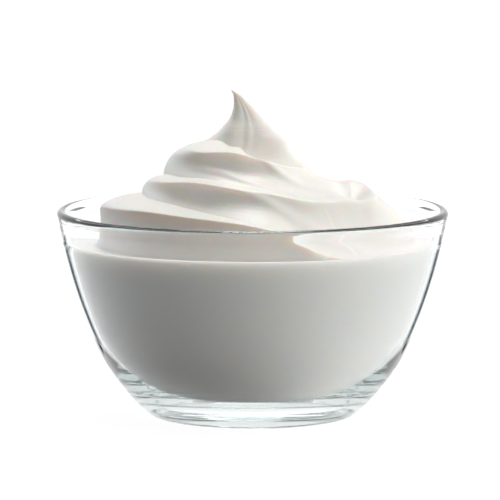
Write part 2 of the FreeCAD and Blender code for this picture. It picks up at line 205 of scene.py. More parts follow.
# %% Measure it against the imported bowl, away from the floor and the rim
NEAR_FLOOR = 8 * MM
NEAR_RIM = 6 * MM

cad_points = np.array([vertex.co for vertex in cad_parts["bowl"].data.vertices])
cad_radii = np.hypot(cad_points[:, 0], cad_points[:, 1])
on_wall = (cad_points[:, 2] > NEAR_FLOOR) & (cad_points[:, 2] < TOP - NEAR_RIM)
outer_gap = np.abs(cad_radii - np.interp(cad_points[:, 2], outside[::-1, 1], outside[::-1, 0]))
inner_gap = np.abs(cad_radii - np.interp(cad_points[:, 2], inside[::-1, 1], inside[::-1, 0]))
print("walls differ from the packed bowl by at most, in mm:",
      round(float(np.minimum(outer_gap, inner_gap)[on_wall].max()) / MM, 3))

# %% [markdown]
# ## The swirl's ridge
#
# Someone turned the last of the yogurt out of a spoon in one rising spiral. One ridge starts low at the front
# right, winds clockwise round the bowl and ends in the peak. The table gives the ridge, about eight rows a
# turn, because a real swirl is uneven. A curve that never overshoots its rows joins them.
# Turns are counted clockwise from the front: 0.25 is left, 0.5 back, 0.75 right, 1.0 in front again.

# %% The ridge, the lean, the folds, the peak
RIDGE = np.array([
    # turns, distance from the axis, height above the rim (mm), slope of the wall, roundness of the crest
    (-0.11, 61.5, -12.6, 0.00, 0.30),
    (-0.07, 60.0, -9.4, 0.10, 0.20),
    (-0.03, 57.2, -1.8, 0.20, 0.00),
    (0.06, 55.4, 3.3, 0.15, 0.10),
    (0.17, 55.6, 6.2, 0.00, 0.50),
    (0.25, 55.2, 5.4, 0.00, 0.75),
    (0.35, 53.0, 1.8, 0.20, 0.70),
    (0.50, 51.5, 1.6, 0.40, 0.60),
    (0.65, 52.0, 4.6, 0.70, 0.80),
    (0.76, 52.4, 9.4, 0.80, 1.00),
    (0.87, 44.8, 6.6, 0.85, 0.10),
    (0.97, 40.6, 9.8, 0.70, 0.00),
    (1.06, 38.8, 13.0, 0.20, 0.10),
    (1.12, 38.0, 13.8, 0.10, 0.40),
    (1.25, 35.4, 11.8, 0.00, 1.00),
    (1.34, 34.2, 10.4, 0.10, 0.90),
    (1.50, 31.0, 10.6, 0.30, 0.60),
    (1.75, 24.5, 14.0, 0.50, 0.20),
    (1.88, 23.0, 17.2, 0.70, 0.00),
    (2.00, 23.4, 21.6, 0.40, 0.00),
    (2.10, 25.6, 23.7, 0.20, 0.30),
    (2.18, 27.4, 24.6, 0.10, 0.80),
    (2.25, 27.8, 24.3, 0.05, 1.00),
    (2.38, 24.0, 22.4, 0.10, 1.00),
    (2.50, 18.0, 22.8, 0.30, 0.60),
    (2.75, 12.0, 26.2, 1.00, 0.20),
    (2.88, 10.4, 27.4, 0.40, 0.60),
    (3.00, 9.0, 28.8, 0.15, 0.80),
    (3.12, 7.8, 30.2, 0.15, 0.80),
    (3.25, 6.5, 31.6, 0.35, 0.70),
    (3.50, 4.6, 34.4, 0.80, 0.40),
    (3.75, 2.6, 38.0, 1.00, 0.10),
    (3.90, 1.3, 40.8, 1.00, 0.10),
    (4.00, 0.3, 42.6, 1.00, 0.10),
])
LEAN = np.array([
    # height above the rim, how far the axis is to the left there (mm)
    (-14.0, 0.0), (0.0, 2.2), (8.0, 3.6), (20.0, 4.0), (24.0, 2.8),
    (31.0, 2.2), (35.0, 2.9), (38.5, 4.3), (41.0, 5.7), (42.6, 7.4),
])
FOLDS = (
    # first and last turn, place on the wall at each, half width, height (mm)
    (0.58, 0.88, 0.20, 0.20, 0.070, 2.4),
    (0.84, 1.02, 0.03, 0.50, 0.070, 0.8),
    (1.78, 1.97, -0.06, 0.55, 0.070, 1.0),
    (1.82, 2.14, 0.09, 0.22, 0.045, 0.8),
)
PEAK_EDGES = (
    # direction in degrees from the right, half width, share added to the radius
    (-84.0, 48.0, -0.40),
    (-80.0, 13.0, 0.06),
    (-8.0, 24.0, 0.10),
)
print("the ridge winds", RIDGE[-1, 0] - RIDGE[0, 0], "turns")

# %% [markdown]
# ## Reading the table
#
# Straight lines between the rows would leave corners, and an ordinary spline would swing past them. The curve
# used here keeps within its rows. A few sine waves on top are the slight shake of the hand that turned it.

# %% Curves through the tables
LEVEL = 62.4
SUNK = 2.0
SWIRL_FOOT = 61.5
RIM_HEIGHT = TOP / MM
RIPPLE = 0.30
SHAKE_OUT = ((4.3, 0.7, 1.0), (9.1, 0.0, 0.7))
SHAKE_UP = ((5.1, 0.4, 1.0), (8.3, 2.0, 0.7))
SHAKE_GROWS_IN = 0.2
SHAKE_FADES_FROM = 2.4
SHAKE_FADES_IN = 0.4


def smooth_curve(place, table, column):
    """A column of a table at any place: cubic pieces whose slope at each row is the weighted harmonic mean
    of the slopes beside it, or 0 where those differ in sign, so that the curve never overshoots."""
    at, value = table[:, 0], table[:, column]
    step, rise = np.diff(at), np.diff(value) / np.diff(at)
    slope = np.zeros_like(value)
    before, after = rise[:-1], rise[1:]
    w_before, w_after = 2 * step[1:] + step[:-1], step[1:] + 2 * step[:-1]
    same = before * after > 0
    slope[1:-1][same] = ((w_before + w_after)[same]
                         / (w_before[same] / before[same] + w_after[same] / after[same]))
    slope[0], slope[-1] = rise[0], rise[-1]
    i = np.clip(np.searchsorted(at, place, side="right") - 1, 0, len(at) - 2)
    u = np.clip((place - at[i]) / step[i], 0, 1)
    return (value[i] * (1 + 2 * u) * (1 - u) ** 2 + slope[i] * step[i] * u * (1 - u) ** 2
            + value[i + 1] * u * u * (3 - 2 * u) + slope[i + 1] * step[i] * u * u * (u - 1))


def bump(place, middle, half_width):
    """A smooth bump of height 1: exp(-((x - middle) / half width)^2)."""
    return np.exp(-(((place - middle) / half_width) ** 2))


def shake(turns, waves):
    """A few sine waves added, each from (waves a turn, start, share): share sin(2 pi count turns + start)."""
    return sum(share * np.sin(2 * np.pi * count * turns + start) for count, start, share in waves)


def ridge(turns):
    """Radius and height of the ridge in mm, with a slight ripple. Before its tail this is the skin's foot."""
    first = RIDGE[0, 0]
    grown = ease((turns - first) / SHAKE_GROWS_IN)
    left = 1 - ease((turns - SHAKE_FADES_FROM) / SHAKE_FADES_IN)
    radius = smooth_curve(turns, RIDGE, 1) + RIPPLE * grown * left * shake(turns, SHAKE_OUT)
    height = RIM_HEIGHT + smooth_curve(turns, RIDGE, 2) + RIPPLE * grown * left * shake(turns, SHAKE_UP)
    before = turns < first
    return np.where(before, SWIRL_FOOT, radius), np.where(before, LEVEL - SUNK, height)


ridge_radii, ridge_heights = ridge(np.array([0.0, 1.0, 2.0, 3.0]))
print("ridge in front, each turn in mm: radius", ridge_radii.round(1), "height", ridge_heights.round(1))


# %% [markdown]
# ## The swirl's skin
#
# Cut through the axis, the swirl is a staircase: up a wall, in along a ledge, up the next wall. Going once
# round raises it by one step, which makes the stairs a spiral. In front the wall is scooped and its crest a
# sharp lip; at the left the step is a soft quarter ellipse; at the right the walls lie back in long slopes.

# %% Walls and ledges
CREST_ROUNDING = 0.02
WALL_SCOOP = 0.30
FLARE_POWER = 1.7
SLOPE_KEEPS_SCOOP = 0.4
FOLD_FADE = 4


def stepped(turns_up, first_turns):
    """Radius and height of the staircase, in mm.

    turns_up - first_turns counts the steps, and its fraction f is the place in a step. The height goes from
    the ridge below to this ridge as f passes the wall, the radius from this ridge to the next wall's foot as
    f passes the ledge; the two overlap at the crest. A round step is sin and 1 - cos of a quarter turn of f.
    A sloping wall's foot flares by a power of what is left to climb, and a steep wall is scooped by a sine.
    """
    f = turns_up - first_turns - np.floor(turns_up - first_turns + 1e-9)
    turns = turns_up - f
    radius, height = ridge(turns)
    radius_above, _ = ridge(turns + 1)
    radius_below, height_below = ridge(turns - 1)
    slope, roundness = smooth_curve(turns, RIDGE, 3), smooth_curve(turns, RIDGE, 4)
    foot = slope * np.maximum(radius_below - radius, 0)
    foot_above = smooth_curve(turns + 1, RIDGE, 3) * np.maximum(radius - radius_above, 0)
    half = 0.5 + CREST_ROUNDING
    climbed = (1 - roundness) * ease(f / half) + roundness * np.sin(np.pi / 2 * f)
    gone_in = (1 - roundness) * ease((f - 1 + half) / half) + roundness * (1 - np.cos(np.pi / 2 * f))
    wall = height - height_below
    scoop = WALL_SCOOP * wall * np.sin(np.pi * np.minimum(2 * f, 1)) ** 2
    r = (radius + foot * (1 - climbed) ** (FLARE_POWER - (FLARE_POWER - 1) * slope)
         + (radius_above + foot_above - radius) * gone_in
         - scoop * (1 - (1 - SLOPE_KEEPS_SCOOP) * slope) * (1 - roundness))
    for first, last, place_first, place_last, half_width, fold_height in FOLDS:
        along = (turns - first) / (last - first)
        fade = ease(FOLD_FADE * along) * ease(FOLD_FADE * (1 - along))
        r += fold_height * fade * bump(f, place_first + (place_last - place_first) * along, half_width)
    return r, height_below + wall * climbed


step_radii, step_heights = stepped(np.array([1.25, 1.5, 1.75, 2.0]), np.array([0.25]))
print("up one step at the left, in mm: radius", step_radii.round(1), "height", step_heights.round(1))

# %% [markdown]
# ## The grid over the swirl
#
# The ridge climbs as it goes round, so the first wall's foot comes later and later in turns. Rows between
# that foot and the first full turn are squeezed together, and from there up all columns share one scale.

# %% How many turns up the spiral each row lies
SKIN_COLUMNS = 384
LEDGE_ROWS = 12
LOW_ROWS = 44
HIGH_ROWS = 150
HALF_TURN = 0.5
FRONT = -0.25


def spiral_grid():
    """The turns of the first wall's foot in each column, and the turns of every row above it."""
    first, last = RIDGE[0, 0], RIDGE[-1, 0]
    from_front = FRONT - np.arange(SKIN_COLUMNS)[None, :] / SKIN_COLUMNS
    foot_turns = first + (from_front - first) % 1.0
    full_turn = first + 1
    low = np.arange(LOW_ROWS)[:, None] / LOW_ROWS
    high = np.linspace(0, 1, HIGH_ROWS)[:, None]
    low_turns = foot_turns + (full_turn - foot_turns) * low
    high_turns = full_turn + (last + HALF_TURN - full_turn) * high + 0 * foot_turns
    return foot_turns, np.vstack([low_turns, high_turns])


foot_turns, turns_up = spiral_grid()
print("rows and columns of the swirl:", turns_up.shape)

# %% [markdown]
# ## From stairs to a peak
#
# Lifting the spoon away draws the last turn into a smooth peak, which leans to the left and is flattened in
# front, with a soft crease down the flat. At the right the edge has curled over and left a hollow like a
# thumb print. The yogurt climbs the glass a little way, in a meniscus.

# %% The peak, the curl and the level
MELT_FROM, MELT_IN = 3.05, 0.55
FLATTEN_FROM, FLATTEN_IN = 2.7, 0.3
ROUND_AGAIN_FROM, ROUND_AGAIN_IN = 40, 2.5
CURL_MIDDLE = (35.5, -13.0)
CURL_HALF_SIZE = (5.5, 8.0)
CURL_DEPTH = 4.6
CURL_STEEPNESS = 1.3
CURL_LIP = 1.6
CURL_LIP_AWAY, CURL_LIP_WIDTH = 1.5, 0.4
CURL_LIP_START, CURL_LIP_SLANT, CURL_LIP_REACH = 2.5, 0.4, 8
LEDGE_CROWDING = 1.5
LEVEL_SOFTNESS = 0.45
MENISCUS = 0.9
MENISCUS_WIDTH = 0.8


def swirl_rings(wall_radius):
    """The yogurt's open surface in mm, ring by ring from the glass to the peak.

    The first rings lie on the level. The next ones are the stairs, which melt into a smooth cone: the ridge's
    own path, half a turn on. The cone's radius is multiplied by 1 + a sum of bumps in direction, and the axis
    leans with height. The hollow is exp(-steepness d^2), with d the distance from its middle in half sizes,
    and a ring-shaped bump on its far side is its lip. log(1 + exp(height)) lifts what would lie under the
    level smoothly on to it, and the meniscus is exp(-distance from the glass / width).
    """
    angle = (np.arange(SKIN_COLUMNS) / SKIN_COLUMNS * 2 * np.pi)[None, :]
    radius, height = stepped(turns_up, foot_turns)
    peak_radius, peak_height = ridge(turns_up - HALF_TURN)
    melted = ease((turns_up - MELT_FROM) / MELT_IN)
    radius = radius + (peak_radius - radius) * melted
    height = height + (peak_height - height) * melted

    tip = ease((height - RIM_HEIGHT - ROUND_AGAIN_FROM) / ROUND_AGAIN_IN)
    flattened = ease((turns_up - FLATTEN_FROM) / FLATTEN_IN) * (1 - tip)
    degrees = np.degrees((angle + np.pi) % (2 * np.pi) - np.pi)
    edges = sum(share * bump(degrees, middle, width) for middle, width, share in PEAK_EDGES)
    radius = radius * (1 + flattened * edges)

    ledge = np.linspace(0, 1, LEDGE_ROWS, endpoint=False)[:, None] ** LEDGE_CROWDING
    ledge_radius = wall_radius + (radius[:1] - wall_radius) * ledge
    radius = np.vstack([ledge_radius, radius])
    height = np.vstack([np.full_like(ledge_radius, LEVEL - SUNK), height])

    x = radius * np.cos(angle) - smooth_curve(height - RIM_HEIGHT, LEAN, 1)
    y = radius * np.sin(angle)
    from_curl_x, from_curl_y = x - CURL_MIDDLE[0], y - CURL_MIDDLE[1]
    away = np.hypot(from_curl_x / CURL_HALF_SIZE[0], from_curl_y / CURL_HALF_SIZE[1])
    far_side = ease((from_curl_x + CURL_LIP_START + CURL_LIP_SLANT * from_curl_y) / CURL_LIP_REACH)
    lip = CURL_LIP * far_side * bump(away, CURL_LIP_AWAY, CURL_LIP_WIDTH)
    height = height + lip - CURL_DEPTH * np.exp(-CURL_STEEPNESS * away**2)
    height = LEVEL + LEVEL_SOFTNESS * np.logaddexp(0, (height - LEVEL) / LEVEL_SOFTNESS)
    from_glass = np.maximum(wall_radius - np.hypot(x, y), 0)
    height = height + MENISCUS * np.exp(-from_glass / MENISCUS_WIDTH)
    return np.stack([x, y, height], axis=-1)


print("the melted turns of the peak:", round(RIDGE[-1, 0] + HALF_TURN - MELT_FROM, 2))


# %% [markdown]
# ## The yogurt
#
# The yogurt is one closed skin too: the inside of the bowl up to the level, then the swirl. Against the glass
# it reaches a little way into the wall, so that no gap of air shows between the two. The faces against the
# glass get a material of their own, because glass changes how the yogurt under it looks. The ring where side
# and open surface meet is a real edge, so its shading is sharp.

# %% Build the yogurt
INTO_GLASS = 0.15 * MM
UNDER_CONTACT = 0.2 * MM

normal_turns = np.gradient(inside, axis=0)
normal_turns /= np.linalg.norm(normal_turns, axis=1, keepdims=True)
pushed = inside + INTO_GLASS * np.stack([-normal_turns[:, 1], normal_turns[:, 0]], axis=-1)
contact_top = (LEVEL + MENISCUS) * MM
below = pushed[pushed[:, 1] < contact_top - UNDER_CONTACT]
contact_radius = np.interp(contact_top, pushed[::-1, 1], pushed[::-1, 0])
bottom_radii = np.linspace(SMALLEST_RING, below[-1, 0], 10)[:-1]
bottom = np.stack([bottom_radii, np.full_like(bottom_radii, below[-1, 1])], axis=-1)
side_outline = np.vstack([bottom, below[::-3]])
side = turned(side_outline, SKIN_COLUMNS)
skin = swirl_rings(contact_radius / MM) * MM
yogurt = ring_mesh("swirled_yogurt", np.vstack([side, skin]))
print("yogurt in mm:", [round(v / MM, 1) for v in yogurt.dimensions])

# %% Mark the faces against the glass, and the edge where they end
at_glass_rows = len(side_outline)
is_at_glass = np.zeros(len(yogurt.data.polygons), dtype=np.int32)
is_at_glass[: at_glass_rows * SKIN_COLUMNS] = 1
is_at_glass[-2 * SKIN_COLUMNS : -SKIN_COLUMNS] = 1
edge_ends = np.empty(2 * len(yogurt.data.edges), dtype=np.int32)
yogurt.data.edges.foreach_get("vertices", edge_ends)
ring_of_end = edge_ends.reshape(-1, 2) // SKIN_COLUMNS
on_contact_ring = np.all(ring_of_end == at_glass_rows, axis=1)
yogurt.data.edges.foreach_set("use_edge_sharp", on_contact_ring)
print("sharp edges:", int(on_contact_ring.sum()))

# %% [markdown]
# A float attribute records, for each point of the skin, how far up the spiral it lies. The spoon's faint
# streaks run along the spiral, so the yogurt's material reads this attribute to stretch them that way.

# %% Store the place across the swirl
places = np.vstack([np.repeat(foot_turns, len(side_outline) + LEDGE_ROWS, axis=0), turns_up]).ravel()
places = np.append(places, [places[0], places[-1]])
attribute = yogurt.data.attributes.new("spiral", "FLOAT", "POINT")
attribute.data.foreach_set("value", places.astype(np.float32))
print("spiral attribute:", len(places), "values, from", round(places.min(), 2), "to", round(places.max(), 2))

# %% [markdown]
# ## A shared effect: the tone of cultured cream
#
# Yogurt isn't one flat white. Its tone drifts a little over a centimetre or two, and its surface keeps faint
# streaks and a very fine unevenness. Both yogurt materials use this, so it is a node group with its own
# inputs, which puts out a colour, a roughness and a height.

# %% Build the group
STREAKS_ACROSS = 26.0
STREAKS_ALONG = 30.0
NOISE_LOW, NOISE_HIGH = 0.3, 0.7


def link_all(tree, *pairs):
    """Join each output to its input."""
    for output, target in pairs:
        tree.links.new(output, target)


def cream_group():
    """Colour = pale mixed to deep by broad noise; height = fine noise plus streaks along the spiral."""
    group = bpy.data.node_groups.new("cream tone", "ShaderNodeTree")
    for name, kind, value in (
        ("Pale", "NodeSocketColor", (0.95, 0.93, 0.9, 1)),
        ("Deep", "NodeSocketColor", (0.93, 0.89, 0.85, 1)),
        ("Drift scale", "NodeSocketFloat", 60.0),
        ("Grain scale", "NodeSocketFloat", 900.0),
        ("Streaks", "NodeSocketFloat", 0.5),
        ("Smoothest", "NodeSocketFloat", 0.35),
        ("Roughest", "NodeSocketFloat", 0.45),
    ):
        group.interface.new_socket(name, in_out="INPUT", socket_type=kind).default_value = value
    for name, kind in (
        ("Color", "NodeSocketColor"),
        ("Roughness", "NodeSocketFloat"),
        ("Height", "NodeSocketFloat"),
    ):
        group.interface.new_socket(name, in_out="OUTPUT", socket_type=kind)
    new = group.nodes.new
    inputs, outputs = new("NodeGroupInput"), new("NodeGroupOutput")
    place, spiral = new("ShaderNodeTexCoord"), new("ShaderNodeAttribute")
    spiral.attribute_name = "spiral"
    drift, grain, streak = (new("ShaderNodeTexNoise") for _ in range(3))
    drift.inputs["Detail"].default_value = 3.0
    grain.inputs["Detail"].default_value = 2.0
    streak.inputs["Scale"].default_value = 1.0
    streak.inputs["Detail"].default_value = 3.0
    split, join = new("ShaderNodeSeparateXYZ"), new("ShaderNodeCombineXYZ")
    across, along_x, along_y, weigh, total = (new("ShaderNodeMath") for _ in range(5))
    for node, factor in ((across, STREAKS_ACROSS), (along_x, STREAKS_ALONG), (along_y, STREAKS_ALONG)):
        node.operation = "MULTIPLY"
        node.inputs[1].default_value = factor
    weigh.operation, total.operation = "MULTIPLY", "ADD"
    colour, gloss = new("ShaderNodeMix"), new("ShaderNodeMapRange")
    colour.data_type = "RGBA"
    gloss.inputs["From Min"].default_value = NOISE_LOW
    gloss.inputs["From Max"].default_value = NOISE_HIGH
    link_all(
        group,
        (place.outputs["Object"], drift.inputs["Vector"]),
        (place.outputs["Object"], grain.inputs["Vector"]),
        (inputs.outputs["Drift scale"], drift.inputs["Scale"]),
        (inputs.outputs["Grain scale"], grain.inputs["Scale"]),
        (drift.outputs["Fac"], colour.inputs["Factor"]),
        (inputs.outputs["Pale"], colour.inputs["A"]),
        (inputs.outputs["Deep"], colour.inputs["B"]),
        (colour.outputs["Result"], outputs.inputs["Color"]),
        (drift.outputs["Fac"], gloss.inputs["Value"]),
        (inputs.outputs["Smoothest"], gloss.inputs["To Min"]),
        (inputs.outputs["Roughest"], gloss.inputs["To Max"]),
        (gloss.outputs["Result"], outputs.inputs["Roughness"]),
        (place.outputs["Object"], split.inputs[0]),
        (spiral.outputs["Fac"], across.inputs[0]),
        (split.outputs["X"], along_x.inputs[0]),
        (split.outputs["Y"], along_y.inputs[0]),
        (across.outputs[0], join.inputs["X"]),
        (along_x.outputs[0], join.inputs["Y"]),
        (along_y.outputs[0], join.inputs["Z"]),
        (join.outputs[0], streak.inputs["Vector"]),
        (streak.outputs["Fac"], weigh.inputs[0]),
        (inputs.outputs["Streaks"], weigh.inputs[1]),
        (weigh.outputs[0], total.inputs[0]),
        (grain.outputs["Fac"], total.inputs[1]),
        (total.outputs[0], outputs.inputs["Height"]),
    )
    return group


cream = cream_group()
print("node group:", cream.name, "with", len(cream.nodes), "nodes")

# %% [markdown]
# ## The open yogurt
#
# Light goes a few millimetres into yogurt before it comes out, most of all the red. Subsurface scattering
# does that: shadows in the folds stay soft and warm. The gloss is low and wide, because the surface is moist
# but not wet.

# %% Yogurt in the open air
def new_material(name):
    """A material with its node tree and its Principled shader."""
    material = bpy.data.materials.new(name)
    material.use_nodes = True
    return material, material.node_tree, material.node_tree.nodes["Principled BSDF"]


def add_cream(tree, surface, bump_height, **values):
    """Place the cream tone in a material and join it to the shader's colour, roughness and bump."""
    tone = tree.nodes.new("ShaderNodeGroup")
    tone.node_tree = cream
    for name, value in values.items():
        tone.inputs[name.replace("_", " ").capitalize()].default_value = value
    relief = tree.nodes.new("ShaderNodeBump")
    relief.inputs["Distance"].default_value = bump_height
    link_all(
        tree,
        (tone.outputs["Color"], surface.inputs["Base Color"]),
        (tone.outputs["Roughness"], surface.inputs["Roughness"]),
        (tone.outputs["Height"], relief.inputs["Height"]),
        (relief.outputs["Normal"], surface.inputs["Normal"]),
    )


def open_yogurt():
    """Creamy white with deep, warm scattering and a soft gloss."""
    material, tree, surface = new_material("open yogurt")
    add_cream(tree, surface, 0.06 * MM, pale=(0.955, 0.91, 0.872, 1), deep=(0.945, 0.885, 0.838, 1),
              streaks=1.2, smoothest=0.30, roughest=0.40)
    surface.inputs["Subsurface Weight"].default_value = 1.0
    surface.inputs["Subsurface Radius"].default_value = (1.0, 0.6, 0.4)
    surface.inputs["Subsurface Scale"].default_value = 1.4 * MM
    surface.inputs["IOR"].default_value = 1.36
    return material


yogurt.data.materials.append(open_yogurt())
print("material:", yogurt.data.materials[0].name)

# %% [markdown]
# ## The yogurt behind glass
#
# Where yogurt lies against glass there is no gloss of its own, but a thin film of air clings along the wall.
# Seen at a slant, that film reflects everything, as the side of an aquarium does, which is why a clear band
# of wall shows beside the white. A Fresnel node with the ratio air over glass gives that reflection. Light
# also comes down inside the yogurt from its open surface, which leaves a soft pale band under the level, so
# the scattering reaches further here.

# %% Yogurt against the glass
AIR_OVER_GLASS = 1 / 1.5


def yogurt_at_glass():
    """A cooler, darker white that is painted shade, the cool cast of the shaded fill seen through glass; no
    gloss of its own, and the film of air as a mirror at a slant.
    """
    material, tree, surface = new_material("yogurt behind glass")
    # The cooler, darker white set here is painted shade: it stands in for the cool cast of the shaded yogurt
    # seen through the glass.
    add_cream(tree, surface, 0.001 * MM, pale=(0.90, 0.925, 0.92, 1), deep=(0.88, 0.91, 0.905, 1),
              streaks=0.0, smoothest=0.02, roughest=0.04)
    surface.inputs["Specular IOR Level"].default_value = 0.0
    surface.inputs["Subsurface Weight"].default_value = 1.0
    surface.inputs["Subsurface Radius"].default_value = (1.0, 0.85, 0.7)
    surface.inputs["Subsurface Scale"].default_value = 4.0 * MM
    film = tree.nodes.new("ShaderNodeFresnel")
    film.inputs["IOR"].default_value = AIR_OVER_GLASS
    tree.links.new(film.outputs[0], surface.inputs["Metallic"])
    return material


yogurt.data.materials.append(yogurt_at_glass())
yogurt.data.polygons.foreach_set("material_index", is_at_glass)
yogurt.data.update()
print("faces behind glass:", int(is_at_glass.sum()), "open:", int((1 - is_at_glass).sum()))

# %% [markdown]
# ## Clear glass
#
# Glass bends and reflects what stands round it, and that is all one sees of it. A path tracer can't easily
# find a lamp through bent glass, so for shadow and bounce rays the glass steps aside: a Transparent shader
# lets the light through, and only what is seen directly is refracted.

# %% The glass
def clear_glass():
    """Smooth glass that only what is seen directly is bent by."""
    material, tree, surface = new_material("clear glass")
    surface.inputs["Base Color"].default_value = (0.988, 0.993, 1.0, 1)
    surface.inputs["Transmission Weight"].default_value = 1.0
    surface.inputs["Roughness"].default_value = 0.0
    surface.inputs["IOR"].default_value = 1.5
    path, either = tree.nodes.new("ShaderNodeLightPath"), tree.nodes.new("ShaderNodeMath")
    either.operation = "MAXIMUM"
    see_through, mix = tree.nodes.new("ShaderNodeBsdfTransparent"), tree.nodes.new("ShaderNodeMixShader")
    link_all(
        tree,
        (path.outputs["Is Shadow Ray"], either.inputs[0]),
        (path.outputs["Is Diffuse Ray"], either.inputs[1]),
        (either.outputs[0], mix.inputs["Fac"]),
        (surface.outputs[0], mix.inputs[1]),
        (see_through.outputs[0], mix.inputs[2]),
        (mix.outputs[0], tree.nodes["Material Output"].inputs["Surface"]),
    )
    return material


bowl.data.materials.append(clear_glass())
print("material:", bowl.data.materials[0].name)

# %% [markdown]
# ## The studio
#
# A pale floor, a soft lamp high over the bowl and a little behind it, and a sky that is bright at both sides
# and dim on the camera's side. The dim side lets the folds of the swirl fall into soft shade.

# %% The light round the bowl
LIGHT_ROUND = (
    # degrees round from the front (left is negative), colour
    (-180, (0.60, 0.60, 0.60, 1)),
    (-108, (1.80, 1.90, 2.02, 1)),
    (-82, (0.10, 0.09, 0.08, 1)),
    (8, (0.08, 0.07, 0.06, 1)),
    (36, (1.82, 1.80, 1.70, 1)),
    (110, (1.42, 1.42, 1.39, 1)),
    (180, (0.60, 0.60, 0.60, 1)),
)


def round_group():
    """Colour by direction round the upright axis: the angle arctan(x / -y), read off LIGHT_ROUND."""
    group = bpy.data.node_groups.new("light round the bowl", "ShaderNodeTree")
    group.interface.new_socket("Direction", in_out="INPUT", socket_type="NodeSocketVector")
    group.interface.new_socket("Color", in_out="OUTPUT", socket_type="NodeSocketColor")
    new = group.nodes.new
    inputs, outputs, split = new("NodeGroupInput"), new("NodeGroupOutput"), new("ShaderNodeSeparateXYZ")
    flip, angle, share = (new("ShaderNodeMath") for _ in range(3))
    flip.operation, angle.operation, share.operation = "MULTIPLY", "ARCTAN2", "MULTIPLY_ADD"
    flip.inputs[1].default_value = -1.0
    share.inputs[1].default_value = 1 / math.tau
    share.inputs[2].default_value = 0.5
    ramp = new("ShaderNodeValToRGB")
    stops = ramp.color_ramp.elements
    while len(stops) < len(LIGHT_ROUND):
        stops.new(0.5)
    for stop, (degrees, _) in zip(stops, LIGHT_ROUND):
        stop.position = degrees / 360 + 0.5
    for stop, (_, colour) in zip(stops, LIGHT_ROUND):
        stop.color = colour
    link_all(
        group,
        (inputs.outputs["Direction"], split.inputs[0]),
        (split.outputs["Y"], flip.inputs[0]),
        (split.outputs["X"], angle.inputs[0]),
        (flip.outputs[0], angle.inputs[1]),
        (angle.outputs[0], share.inputs[0]),
        (share.outputs[0], ramp.inputs["Fac"]),
        (ramp.outputs["Color"], outputs.inputs["Color"]),
    )
    return group


light_round = round_group()
print("node group:", light_round.name, "with", len(LIGHT_ROUND), "colours")


def place_light_round(tree, direction):
    """The group in one tree, read in the given direction."""
    node = tree.nodes.new("ShaderNodeGroup")
    node.node_tree = light_round
    tree.links.new(direction, node.inputs["Direction"])
    return node.outputs["Color"]


def seen_sharply(tree):
    """1 for what the camera sees itself or through smooth glass, 0 for soft bounces and for lamp sampling."""
    path, either = tree.nodes.new("ShaderNodeLightPath"), tree.nodes.new("ShaderNodeMath")
    either.operation = "MAXIMUM"
    link_all(
        tree,
        (path.outputs["Is Camera Ray"], either.inputs[0]),
        (path.outputs["Is Singular Ray"], either.inputs[1]),
    )
    return either.outputs[0]


# %% [markdown]
# ## The floor
#
# A studio floor that is lit until it is white has no edge and hardly a shadow. Here it glows where it is
# seen. It lies a hair under the foot, so that the two faces don't coincide. A disc of slightly stronger glow
# lies between them, so that the thick glass over it isn't darker than the floor round it.

# %% Floor
FLOOR_DROP = 0.05 * MM
FLOOR_SEEN = (0.25, 0.25, 0.25, 1)
FLOOR_GLOW = 0.90
FLOOR_BOUNCE = 0.35
FLOOR_HALF = 4.0


def flat_piece(name, corners, material):
    """One flat face that belongs to the studio, not to the bowl."""
    mesh = bpy.data.meshes.new(name)
    mesh.from_pydata(corners, [], [tuple(range(len(corners)))])
    mesh.materials.append(material)
    piece = bpy.data.objects.new(name, mesh)
    bpy.context.scene.collection.objects.link(piece)
    return piece


def pale_floor():
    """Near white and slightly glowing where it is seen, as an overlit studio floor is. For soft light it is
    a reflector that follows the light round the bowl, so that it doesn't fill the shaded side from below."""
    material, tree, surface = new_material("pale floor")
    surface.inputs["Base Color"].default_value = FLOOR_SEEN
    surface.inputs["Roughness"].default_value = 0.9
    surface.inputs["Specular IOR Level"].default_value = 0.0
    surface.inputs["Emission Color"].default_value = (1, 1, 1, 1)
    surface.inputs["Emission Strength"].default_value = FLOOR_GLOW
    place, bounce = tree.nodes.new("ShaderNodeTexCoord"), tree.nodes.new("ShaderNodeEmission")
    bounce.inputs["Strength"].default_value = FLOOR_BOUNCE
    mix = tree.nodes.new("ShaderNodeMixShader")
    link_all(
        tree,
        (place_light_round(tree, place.outputs["Object"]), bounce.inputs["Color"]),
        (seen_sharply(tree), mix.inputs["Fac"]),
        (bounce.outputs[0], mix.inputs[1]),
        (surface.outputs[0], mix.inputs[2]),
        (mix.outputs[0], tree.nodes["Material Output"].inputs["Surface"]),
    )
    material.cycles.emission_sampling = "NONE"
    return material


floor_signs = ((-1, -1), (1, -1), (1, 1), (-1, 1))
floor_corners = [(FLOOR_HALF * x, FLOOR_HALF * y, -FLOOR_DROP) for x, y in floor_signs]
print("floor:", flat_piece("floor", floor_corners, pale_floor()).name)

# %% A glowing disc under the foot
DISC_RADIUS = 33 * MM
DISC_GLOW = 1.0
DISC_CORNERS = 64


def glowing_disc():
    """A many-sided disc between the floor and the foot."""
    corners = turned(np.array([[DISC_RADIUS, -FLOOR_DROP / 2]]), DISC_CORNERS)[0]
    material, _, surface = new_material("glowing disc")
    surface.inputs["Base Color"].default_value = FLOOR_SEEN
    surface.inputs["Emission Color"].default_value = (1, 1, 1, 1)
    surface.inputs["Emission Strength"].default_value = DISC_GLOW
    return flat_piece("glowing_disc", corners.tolist(), material)


print("disc:", glowing_disc().name)

# %% [markdown]
# ## Dark cards
#
# Clear glass has no colour of its own: its outline shows only where it bends something dark into view. Black
# cards beside the bowl do that in a studio. These lie on the floor behind it, at the slants from which the
# wall bends light towards the front, and only sharp rays meet them: they cast no shade and aren't seen.

# %% Dark cards on the floor, seen only through and in the glass
CARD_START = 0.06
CARD_SPANS = ((4.5, 7.0, 0.40), (17.0, 27.0, 0.45))
WALL_EDGE = 0.058
CARD_HEIGHT = 0.1 * MM


